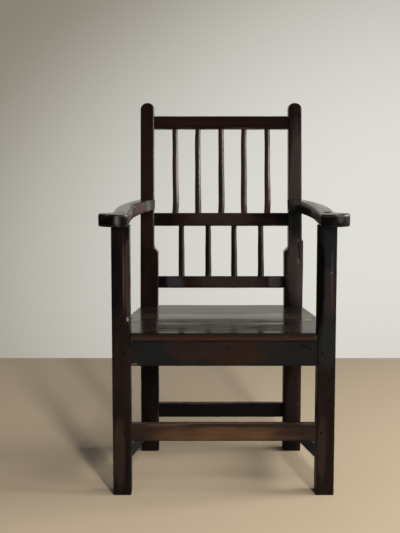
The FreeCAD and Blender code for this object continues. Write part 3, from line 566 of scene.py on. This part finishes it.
BACK_OAK = oak(
    "back_rail_oak", ACROSS, bump=0.15, Gloss=0.20, Brown=(0.028, 0.0115, 0.0075, 1),
    places=(
        # painted shade: the dark ends of the lower and the middle rail, beside the posts
        ((-0.1720, 0.170, 0.497), (0.024, 0.03, 0.05), NEAR_BLACK, 0.8),
        ((-0.1650, 0.180, 0.675), (0.040, 0.05, 0.04), NEAR_BLACK, 0.7),
        ((0.1800, 0.180, 0.675), (0.030, 0.05, 0.04), NEAR_BLACK, 0.7),
        # a slate-grey painted highlight, then brown and dusty along the lower rail, brown on the
        # middle one
        ((-0.1310, 0.170, 0.497), (0.030, 0.03, 0.05), (0.036, 0.039, 0.045, 1), 0.6),
        ((0.0300, 0.170, 0.497), (0.120, 0.03, 0.05), (0.036, 0.025, 0.021, 1), 0.7),
        ((0.1550, 0.170, 0.497), (0.022, 0.03, 0.05), (0.060, 0.050, 0.047, 1), 0.7),
        ((0.0000, 0.185, 0.675), (0.120, 0.05, 0.04), (0.036, 0.023, 0.018, 1), 0.6),
    ),
)
RAIL_OAK = oak(
    "seat_rail_oak", ACROSS, bump=0.2, Gloss=0.24,
    # the rail's bluish dark is a painted reflection of the daylight; its middle is rubbed brown
    Dark=(0.0085, 0.0105, 0.0120, 1), Brown=(0.013, 0.0095, 0.0085, 1),
    Rubbed=(0.028, 0.0108, 0.0070, 1),
    rub=((-0.010, 0, 0.40), (0.155, ALL, 0.075), 0.9, 3.0),
    places=(
        # two small knots, and the bruised lower corner on the left
        ((0.1735, -0.251, 0.381), (0.003, 0.01, 0.003), NEAR_BLACK, 0.9),
        ((0.0080, -0.251, 0.387), (0.003, 0.01, 0.003), NEAR_BLACK, 0.9),
        ((-0.2275, -0.251, 0.344), (0.010, 0.01, 0.005), (0.10, 0.06, 0.04, 1), 0.8),
    ),
)
SIDE_OAK = oak("side_rail_oak", BACKWARD, bump=0.2, Gloss=0.27)
ARM_OAK = oak(
    "arm_oak", BACKWARD, bump=0.15, Gloss=0.26, Bareness=0.6,
    # the pale bare colour on the rubbed edges is worn wood and a painted highlight at once
    Dark=(0.0045, 0.0034, 0.0030, 1), Brown=(0.036, 0.022, 0.015, 1), Bare=(0.40, 0.32, 0.25, 1),
    places=(
        # the noses: black, with painted grey highlights on them
        ((0.2650, -0.290, 0.710), (0.075, 0.040, 0.019), NEAR_BLACK, 1.0),
        ((0.2500, -0.278, 0.7290), (0.036, 0.010, 0.008), (0.020, 0.017, 0.015, 1), 1.0),
        ((-0.2785, -0.290, 0.710), (0.060, 0.040, 0.019), NEAR_BLACK, 0.95),
        ((-0.2670, -0.279, 0.714), (0.012, 0.012, 0.018), (0.060, 0.057, 0.050, 1), 0.45),
        ((-0.2680, -0.279, 0.714), (0.006, 0.012, 0.016), (0.16, 0.155, 0.135, 1), 0.55),
        ((0.2900, -0.272, 0.718), (0.010, 0.014, 0.012), (0.045, 0.043, 0.042, 1), 0.6),
        # the inner faces: the right one in painted shade with a painted grey sheen, the left one
        # rubbed pale and brown
        ((0.2150, 0.020, 0.708), (0.045, 0.260, 0.018), NEAR_BLACK, 0.95),
        ((0.2250, -0.060, 0.712), (0.020, 0.040, 0.011), (0.070, 0.065, 0.063, 1), 0.7),
        ((-0.2350, -0.150, 0.716), (0.030, 0.110, 0.013), (0.17, 0.125, 0.10, 1), 0.8),
        ((-0.2150, 0.045, 0.716), (0.036, 0.095, 0.026), (0.060, 0.030, 0.021, 1), 0.9),
        # painted light on the facets where the arms meet the rear posts, which face the light
        ((-0.2100, 0.140, 0.712), (0.040, 0.022, 0.030), (0.090, 0.085, 0.078, 1), 0.7),
        ((0.2100, 0.143, 0.712), (0.040, 0.016, 0.030), (0.060, 0.058, 0.056, 1), 0.7),
    ),
    sheens=(
        # glossy tops, dull inner faces
        ((0, 0, 0.735), (ALL, ALL, 0.010), 0.14),
        ((0.2150, 0.040, 0.706), (0.045, 0.180, 0.018), 0.8),
        ((-0.2200, 0.000, 0.716), (0.040, 0.150, 0.024), 0.5),
    ),
)
SEAT_OAK = oak(
    "seat_oak", ACROSS, bump=0.1, ior=1.6, Gloss=0.11,
    Dark=(0.014, 0.011, 0.0092, 1), Brown=(0.040, 0.028, 0.020, 1), Bare=(0.11, 0.075, 0.055, 1),
    places=(
        # the brown moulding, with painted shade along its upper edge
        ((0, -0.262, 0.416), (ALL, 0.018, ALL), (0.032, 0.0125, 0.0072, 1), 0.9),
        ((0, -0.266, 0.4245), (ALL, 0.034, 0.0080), (0.0065, 0.0035, 0.0025, 1), 1.0),
        # painted reflection: a dark band before the split in the middle board, where it has
        # tilted away from the wall, and a pale one behind it, where it mirrors the wall
        ((0, -0.078, 0.425), (ALL, 0.048, ALL), (0.020, 0.0125, 0.0095, 1), 0.8),
        ((0, -0.003, 0.425), (ALL, 0.046, ALL), (0.066, 0.050, 0.041, 1), 0.6),
    ),
    sheens=(
        # satin at the back, gloss on the pale band, and dull on the dark one
        ((0, 0.150, 0.425), (ALL, 0.150, ALL), 0.20),
        ((0, -0.005, 0.425), (ALL, 0.055, ALL), 0.06),
        ((-0.030, -0.078, 0.425), (0.200, 0.048, ALL), 0.30),
    ),
)
UPPER_STICK_OAK = oak(
    "upper_stick_oak", UPRIGHT, bump=0.1, ior=1.5, Gloss=0.24,
    Dark=(0.013, 0.007, 0.005, 1), Brown=(0.062, 0.030, 0.019, 1),
    places=(
        # painted highlights down the right sides of three sticks
        ((-0.1252, 0.21, 0.820), (0.0048, 0.06, 0.120), (0.23, 0.180, 0.150, 1), 0.8),
        ((-0.0605, 0.21, 0.815), (0.0045, 0.06, 0.080), (0.18, 0.155, 0.140, 1), 0.7),
        ((0.1380, 0.21, 0.825), (0.0045, 0.06, 0.075), (0.20, 0.165, 0.145, 1), 0.7),
    ),
)
LOWER_STICK_OAK = oak(
    "lower_stick_oak", UPRIGHT, bump=0.1, ior=1.5, Gloss=0.33,
    Dark=(0.005, 0.0030, 0.0025, 1), Brown=(0.016, 0.0088, 0.0065, 1),
)
TREAD_OAK = oak(
    "stretcher_oak", ACROSS, Gloss=0.34,
    Dark=(0.016, 0.010, 0.0075, 1), Brown=(0.060, 0.032, 0.020, 1),
    Rubbed=(0.125, 0.060, 0.027, 1),
    rub=((-0.010, -0.251, 0.155), (0.200, 0.02, 0.030), 0.9, 2.5),
    places=(
        # two small knots
        ((0.1620, -0.251, 0.180), (0.003, 0.01, 0.003), NEAR_BLACK, 0.9),
        ((0.2010, -0.251, 0.162), (0.004, 0.01, 0.004), NEAR_BLACK, 0.8),
    ),
)
SIDE_TREAD_OAK = oak("side_stretcher_oak", BACKWARD, Gloss=0.34, Brown=(0.034, 0.018, 0.012, 1))
# the rear stretcher's oak is darker: painted shade, as it lies under the seat
SHADED_REAR_TREAD_OAK = oak("shaded_rear_stretcher_oak", ACROSS, Gloss=0.34, Brown=(0.014, 0.008, 0.006, 1))
PEG_OAK = oak(
    "peg_oak", UPRIGHT, Gloss=0.45,
    Dark=(0.003, 0.0022, 0.002, 1), Brown=(0.010, 0.005, 0.004, 1),
)
print(len(bpy.data.materials), "materials")

# %% [markdown]
# The construction model's pieces are crisp. Each one is copied, and its loose
# triangles are merged into whole faces. Its outer edges are then rubbed round
# with a bevel of several strips. The bevel is flatter than a quarter circle, as
# worn edges are. The walls of mortises and peg holes keep their sharp edges. They
# are told from the outside by looking straight out from each face: a wall sees
# the opposite wall of its own piece. The lines of the rubbed edges are kept, so
# that the points near them can be found again later.

# %% Copying a piece and rubbing its edges round
MERGE_DISTANCE = 0.00001
SAME_PLANE = math.radians(1)
EDGE_TURN = math.radians(25)
NEARLY_ALONG = 0.9
OFF_THE_FACE = 0.0001
TRAIL_STEP = 0.004
BEVEL_STRIPS = 4
RUBBED_MARGIN = 1.05
X, Y, Z = 0, 1, 2
ARRISES = {}


def only(piece):
    """Makes one piece the only one selected, and the active one."""
    bpy.ops.object.select_all(action="DESELECT")
    piece.select_set(True)
    bpy.context.view_layer.objects.active = piece


def copy_of(node):
    """A copy of a node's solid with whole faces in place of loose triangles."""
    piece = bpy.data.objects.new(node + "_worn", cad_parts[node].data.copy())
    bpy.context.scene.collection.objects.link(piece)
    only(piece)
    bpy.ops.mesh.customdata_custom_splitnormals_clear()
    bpy.ops.object.mode_set(mode="EDIT")
    bpy.ops.mesh.select_all(action="SELECT")
    bpy.ops.mesh.remove_doubles(threshold=MERGE_DISTANCE)
    bpy.ops.mesh.dissolve_limited(angle_limit=SAME_PLANE)
    bpy.ops.object.mode_set(mode="OBJECT")
    return piece


def is_outer_arris(edge, walls, along):
    """Whether an edge is a sharp outer one that runs along the given axis, if any."""
    faces = edge.link_faces
    if len(faces) != 2 or not edge.is_convex or edge.calc_face_angle() < EDGE_TURN:
        return False
    if faces[0] in walls or faces[1] in walls:
        return False
    if along is None:
        return True
    way = (edge.verts[1].co - edge.verts[0].co).normalized()
    return abs(way[along]) > NEARLY_ALONG


def rub_arrises(piece, reach, along=None, profile=0.75):
    """Rounds the outer edges, or only those that run along one axis."""
    only(piece)
    bpy.ops.object.mode_set(mode="EDIT")
    bpy.ops.mesh.select_mode(type="EDGE")
    bpy.ops.mesh.select_all(action="DESELECT")
    shape = bmesh.from_edit_mesh(piece.data)
    surface = BVHTree.FromBMesh(shape)
    walls = set()
    for face in shape.faces:
        start = face.calc_center_median() + face.normal * OFF_THE_FACE
        if surface.ray_cast(start, face.normal)[0] is not None:
            walls.add(face)
    line = []
    for edge in shape.edges:
        if is_outer_arris(edge, walls, along):
            edge.select_set(True)
            first, last = (point.co.copy() for point in edge.verts)
            count = max(1, round((last - first).length / TRAIL_STEP))
            line += [first.lerp(last, number / count) for number in range(count + 1)]
    bmesh.update_edit_mesh(piece.data)
    bpy.ops.mesh.bevel(
        offset=reach, segments=BEVEL_STRIPS, profile=profile, clamp_overlap=False,
    )
    bpy.ops.object.mode_set(mode="OBJECT")
    trail = KDTree(len(line))
    for index, place in enumerate(line):
        trail.insert(place, index)
    trail.balance()
    ARRISES[piece.name] = (trail, reach)
    return piece


def mark_arrises(piece):
    """Gives points on the rubbed edges 1, and 0 where the rounding ends."""
    trail, reach = ARRISES[piece.name]
    reach *= RUBBED_MARGIN
    distances = [trail.find(point.co)[2] for point in piece.data.vertices]
    marks = [max(0.0, 1 - distance / reach) for distance in distances]
    group = piece.vertex_groups.new(name="rubbed")
    for index, mark in enumerate(marks):
        group.add([index], mark, "REPLACE")
    piece.data.attributes.new("arris", "FLOAT", "POINT").data.foreach_set("value", marks)
    piece.data.attributes.new("crack", "FLOAT", "POINT")


print("edges that turn by more than", math.degrees(EDGE_TURN), "degrees are rubbed")

# %% [markdown]
# To become uneven, a flat face needs points. The piece is cut across every few
# millimetres. Then two clouds of noise push the points into the wood: a wide
# gentle one all over, as a plane leaves it, and a finer one along the rubbed
# edges. Points only ever move inwards, and the chair keeps its size.

# %% Cutting and wearing
PLANED_SCALE = 0.06
NIBBLED_SCALE = 0.03
NIBBLED_CONTRAST = 1.8
SMOOTH_BELOW = math.radians(32)


def cut(piece, planes):
    """Cuts all of a piece along planes, each a point and a direction."""
    only(piece)
    bpy.ops.object.mode_set(mode="EDIT")
    for point, square in planes:
        bpy.ops.mesh.select_all(action="SELECT")
        bpy.ops.mesh.bisect(plane_co=point, plane_no=square)
    bpy.ops.object.mode_set(mode="OBJECT")


def slices(axis, low, high, step):
    """Planes square to an axis, evenly spread between two places."""
    count = max(1, round((high - low) / step))
    square = [0, 0, 0]
    square[axis] = 1
    planes = []
    for number in range(1, count):
        point = [0, 0, 0]
        point[axis] = low + (high - low) * number / count
        planes.append((point, square))
    return planes


def wear(piece, planed=0.0005, nibbled=0.0007):
    """Moves points into the wood: gently all over, and more along the edges."""
    only(piece)
    mark_arrises(piece)
    for name, depth, scale in (
        ("planed", planed, PLANED_SCALE),
        ("nibbled", nibbled, NIBBLED_SCALE),
    ):
        clouds = bpy.data.textures.new(piece.name + "_" + name, "CLOUDS")
        clouds.noise_scale = scale
        push = piece.modifiers.new(name, "DISPLACE")
        push.texture = clouds
        push.texture_coords = "LOCAL"
        push.mid_level = 1
        push.strength = depth
        if name == "nibbled":
            clouds.contrast = NIBBLED_CONTRAST
            push.vertex_group = "rubbed"
    for name in ("planed", "nibbled"):
        bpy.ops.object.modifier_apply(modifier=name)


def finish(piece, node, material):
    """Gives a piece its material and hands it to the frame in the node's place."""
    piece.data.materials.clear()
    piece.data.materials.append(material)
    only(piece)
    bpy.ops.object.shade_smooth_by_angle(angle=SMOOTH_BELOW)
    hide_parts(node)
    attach(piece, "root")
    print(piece.name, len(piece.data.polygons), "faces")


print("a worn surface is shaded smooth where it turns by less than", math.degrees(SMOOTH_BELOW))

# %% [markdown]
# Rails and stretchers are plain bars with pegged ends. A cut every 14 mm and two
# along each side are enough for a surface that was planed by eye. The front
# stretcher is rubbed rounder than the rest, where feet rest on it.

# %% Bars
BAR_STEP = 0.014
BAR_PARTS = 3


def cross_slices(low, high, axes, parts):
    """Planes that split a box into a few equal parts along each of some axes."""
    planes = []
    for axis in axes:
        planes += slices(axis, low[axis], high[axis], (high[axis] - low[axis]) / parts)
    return planes


def rubbed_bar(node, axis, reach):
    """A straight bar of the frame with rubbed edges, cut along its length."""
    low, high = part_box(node)
    piece = rub_arrises(copy_of(node), reach, along=axis)
    planes = slices(axis, low[axis], high[axis], BAR_STEP)
    others = [other for other in (X, Y, Z) if other != axis]
    cut(piece, planes + cross_slices(low, high, others, BAR_PARTS))
    return piece


def worn_bar(node, axis, reach, material):
    """A rubbed bar with worn faces, finished."""
    piece = rubbed_bar(node, axis, reach)
    wear(piece)
    finish(piece, node, material)


for node in ("top_rail", "middle_rail", "lower_rail"):
    worn_bar(node, X, 0.003, BACK_OAK)
for node in ("right_seat_rail", "left_seat_rail"):
    worn_bar(node, Y, 0.002, SIDE_OAK)
worn_bar("front_stretcher", X, 0.005, TREAD_OAK)
worn_bar("rear_stretcher", X, 0.003, SHADED_REAR_TREAD_OAK)
for node in ("right_stretcher", "left_stretcher"):
    worn_bar(node, Y, 0.003, SIDE_TREAD_OAK)
worn_bar("rear_seat_rail", X, 0.003, RAIL_OAK)

# %% [markdown]
# Old oak splits along its grain as it dries. A crack is three cuts side by side on one face,
# with the middle one pushed in to a narrow valley. Its points carry the value crack, and the
# finish is black there: dirt in the crack, and painted shade for its depth.

# %% Cracks
FACES_INTO = -0.9
SAME_FACE = 0.004
ON_THE_LINE = 0.0001
TAPER = 5
BACKWARDS = (0, 1, 0)


def faces_at(shape, start, along, across, into, length, offset):
    """The faces on the crack's own plane that a line beside the crack crosses."""
    found = []
    for face in shape.faces:
        if face.normal.dot(into) > FACES_INTO:
            continue
        runs = [(point.co - start).dot(along) for point in face.verts]
        sides = [(point.co - start).dot(across) for point in face.verts]
        depth = (face.verts[0].co - start).dot(into)
        beside = max(runs) > 0 and min(runs) < length
        if abs(depth) < SAME_FACE and beside and min(sides) < offset < max(sides):
            found.append(face)
    return found


def open_crack(piece, start, end, into, wide=0.0020, deep=0.0025, steps=8):
    """Opens a crack between two points of a flat face, deepest at its middle."""
    start, end, into = Vector(start), Vector(end), Vector(into).normalized()
    along = (end - start).normalized()
    across = along.cross(into).normalized()
    length = (end - start).length
    only(piece)
    bpy.ops.object.mode_set(mode="EDIT")
    bpy.ops.mesh.select_mode(type="FACE")
    planes = [(start + across * offset, across, offset) for offset in (-wide / 2, 0, wide / 2)]
    planes += [(start + along * (length * step / steps), along, 0) for step in range(1, steps)]
    for point, square, offset in planes:
        bpy.ops.mesh.select_all(action="DESELECT")
        shape = bmesh.from_edit_mesh(piece.data)
        for face in faces_at(shape, start, along, across, into, length, offset):
            face.select_set(True)
        bmesh.update_edit_mesh(piece.data)
        bpy.ops.mesh.bisect(plane_co=point, plane_no=square)
    bpy.ops.object.mode_set(mode="OBJECT")
    marks = piece.data.attributes["crack"].data
    moved = 0
    for point in piece.data.vertices:
        offset = point.co - start
        run = offset.dot(along) / length
        centred = abs(offset.dot(across)) < ON_THE_LINE and 0 < run < 1
        if centred and abs(offset.dot(into)) < SAME_FACE:
            taper = min(1.0, TAPER * min(run, 1 - run))
            point.co += into * deep * taper
            marks[point.index].value = taper
            moved += 1
    print("crack on", piece.name, "with", moved, "points")


rail = rubbed_bar("front_seat_rail", X, 0.003)
wear(rail)
open_crack(rail, (0.181, -0.2508, 0.403), (0.227, -0.2508, 0.381), BACKWARDS)
finish(rail, "front_seat_rail", RAIL_OAK)

# %% [markdown]
# The four posts stand full height, sawn square. The front ones have a long
# scooped chamfer that stops above the seat and under the arm. The rear ones lean
# back above the seat. On the right rear post a splinter has sprung from the outer
# edge: a crack in the front face, and the wood outside it bowed out. The tenon of
# the right front post has shrunk a little below the top of its arm.

# %% Posts
TENON_TOP = 0.7285
TENON_SUNK = 0.0012
FOOT_CRACK = ((-0.2755, -0.2538, 0.012), (-0.2745, -0.2538, 0.062))
RAKE = math.radians(7.9)
INTO_RAKED_FACE = (0, math.cos(RAKE), -math.sin(RAKE))
SPLINTER = ((0.2206, 0.1750, 0.611), (0.2239, 0.1667, 0.551))
SPLINTER_SIDE = 0.2215
SPLINTER_END = 0.612
SPLINTER_ROOT = 0.33
SPLINTER_RISE = 0.25
SPLINTER_EDGE = 0.006
SPLINTER_BOW = 0.0038
UP = (0, 0, 1)
END_CUTS = [((0, 0, 0.6115), UP), ((0, 0, 0.6135), UP)]


def reshape(piece, move):
    """Moves each point to where the function puts it."""
    for point in piece.data.vertices:
        point.co = move(point.co)


def smooth(value):
    """Eases from 0 to 1."""
    value = max(0.0, min(1.0, value))
    return value * value * (3 - 2 * value)


def sunk(point):
    """Lowers the end of the right post's tenon below the arm that it comes through."""
    if point.z > TENON_TOP and point.x > 0:
        return point - Vector((0, 0, TENON_SUNK))
    return point


def sprung(point):
    """Bows the outer edge out near the splinter's top."""
    if point.x < SPLINTER_SIDE or point.z > SPLINTER_END:
        return point
    rise = smooth((point.z - SPLINTER_ROOT) / SPLINTER_RISE)
    rise *= smooth((point.x - SPLINTER_SIDE) / SPLINTER_EDGE)
    return point + Vector((SPLINTER_BOW * rise, 0, 0))


for node in ("right_front_post", "left_front_post"):
    post = rubbed_bar(node, Z, 0.0018)
    wear(post)
    reshape(post, sunk)
    if node == "left_front_post":
        open_crack(post, *FOOT_CRACK, BACKWARDS, wide=0.0016)
    finish(post, node, POST_OAK)
for node in ("right_rear_post", "left_rear_post"):
    post = rubbed_bar(node, Z, 0.0025)
    if node == "right_rear_post":
        cut(post, END_CUTS)
    wear(post)
    if node == "right_rear_post":
        open_crack(post, *SPLINTER, INTO_RAKED_FACE, wide=0.0022, deep=0.004)
        reshape(post, sprung)
    finish(post, node, POST_OAK)

# %% [markdown]
# The arms sweep in towards the back from a nose with a square ear on its outer side. Hands have
# rubbed their upper edges pale, so their oak has a lighter bare colour and a satin polish; that
# pale colour on the edges is also a painted highlight. The end grain of the front post's tenon
# shows in the top. An arm curves all along, so it is cut more finely than a bar.

# %% Arms
ROUND = 0.5
ARM_STEP = 0.01
ARM_PARTS = 4
for node in ("right_arm", "left_arm"):
    low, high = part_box(node)
    arm = rub_arrises(copy_of(node), 0.0022, profile=ROUND)
    planes = slices(Y, low[Y], high[Y], ARM_STEP)
    cut(arm, planes + cross_slices(low, high, (X, Z), ARM_PARTS))
    wear(arm, planed=0.0006, nibbled=0.0008)
    finish(arm, node, ARM_OAK)

# %% [markdown]
# The seat is three boards side by side, the front one with a rounded moulding.
# The middle one has split from end to end. The boards have crept, so their faces
# are less flat than those of the frame, but their edges are still crisp.

# %% Seat
BOARD_STEP = 0.03
BOARD_PLANED = 0.0007
SPLIT = ((-0.238, -0.0425, 0.4248), (0.242, -0.0415, 0.4248))
DOWNWARDS = (0, 0, -1)
for node in ("front_seat_board", "middle_seat_board", "rear_seat_board"):
    low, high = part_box(node)
    board = rub_arrises(copy_of(node), 0.0009)
    planes = slices(X, low[X], high[X], BAR_STEP)
    planes += slices(Y, low[Y], high[Y], BOARD_STEP)
    cut(board, planes)
    wear(board, planed=BOARD_PLANED, nibbled=0.0004)
    if node == "middle_seat_board":
        open_crack(board, *SPLIT, DOWNWARDS, wide=0.003, deep=0.003, steps=30)
    finish(board, node, SEAT_OAK)

# %% [markdown]
# Nine sticks fill the back. Each was split out and shaved to eight flats by eye,
# so no two are alike. Each one bows and twists a little between its round ends,
# which stay where the rails hold them. The bow is in metres to the right, and the
# twist in degrees.

# %% Sticks
STICK_STEP = 0.01
END_SHARE = 0.16
RIPPLE = 0.45
RIPPLE_WAVES = 1.5
STICKS = {
    "upper_stick_1": (0.0011, -14),
    "upper_stick_2": (-0.0008, -9),
    "upper_stick_3": (0.0006, -10),
    "upper_stick_4": (-0.0011, -3),
    "upper_stick_5": (0.0009, -6),
    "lower_stick_1": (-0.0006, -5),
    "lower_stick_2": (0.0010, -3),
    "lower_stick_3": (-0.0009, -6),
    "lower_stick_4": (0.0007, -4),
}


def shaved(low, high, bow, twist):
    """Bows and turns a stick about its own raked line, and leaves its ends alone."""
    foot = Vector(((low.x + high.x) / 2, low.y, low.z))
    tall = high.z - low.z

    def move(point):
        share = (point.z - foot.z) / tall
        body = smooth(share / END_SHARE) * smooth((1 - share) / END_SHARE)
        middle_y = low.y + (high.y - low.y) * share
        wave = math.sin(math.pi * share)
        wave += RIPPLE * math.sin(math.tau * RIPPLE_WAVES * share)
        turn = math.radians(twist) * body
        x, y = point.x - foot.x, point.y - middle_y
        return Vector((
            foot.x + x * math.cos(turn) - y * math.sin(turn) + bow * wave * body,
            middle_y + x * math.sin(turn) + y * math.cos(turn),
            point.z,
        ))
    return move


for node, (bow, twist) in STICKS.items():
    low, high = (Vector(corner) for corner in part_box(node))
    stick = rub_arrises(copy_of(node), 0.0021, along=Z, profile=ROUND)
    cut(stick, slices(Z, low.z, high.z, STICK_STEP))
    wear(stick, planed=0.0007, nibbled=0.0003)
    reshape(stick, shaved(low, high, bow, twist))
    finish(stick, node, UPPER_STICK_OAK if "upper" in node else LOWER_STICK_OAK)

# %% [markdown]
# Oak shrinks across its grain and not along it, so the pegs that hold the joints
# end level with the surface or a hair proud, with a dark rim. Their rims are
# rubbed round. The pegs of the seat are worn down with its boards, and have their
# colour.

# %% Pegs
for node in [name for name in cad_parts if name.endswith("_pegs")]:
    in_seat = node == "seat_pegs"
    pegs = rub_arrises(copy_of(node), 0.0007)
    wear(pegs, planed=BOARD_PLANED if in_seat else 0.0003, nibbled=0.0003)
    finish(pegs, node, SEAT_OAK if in_seat else PEG_OAK)
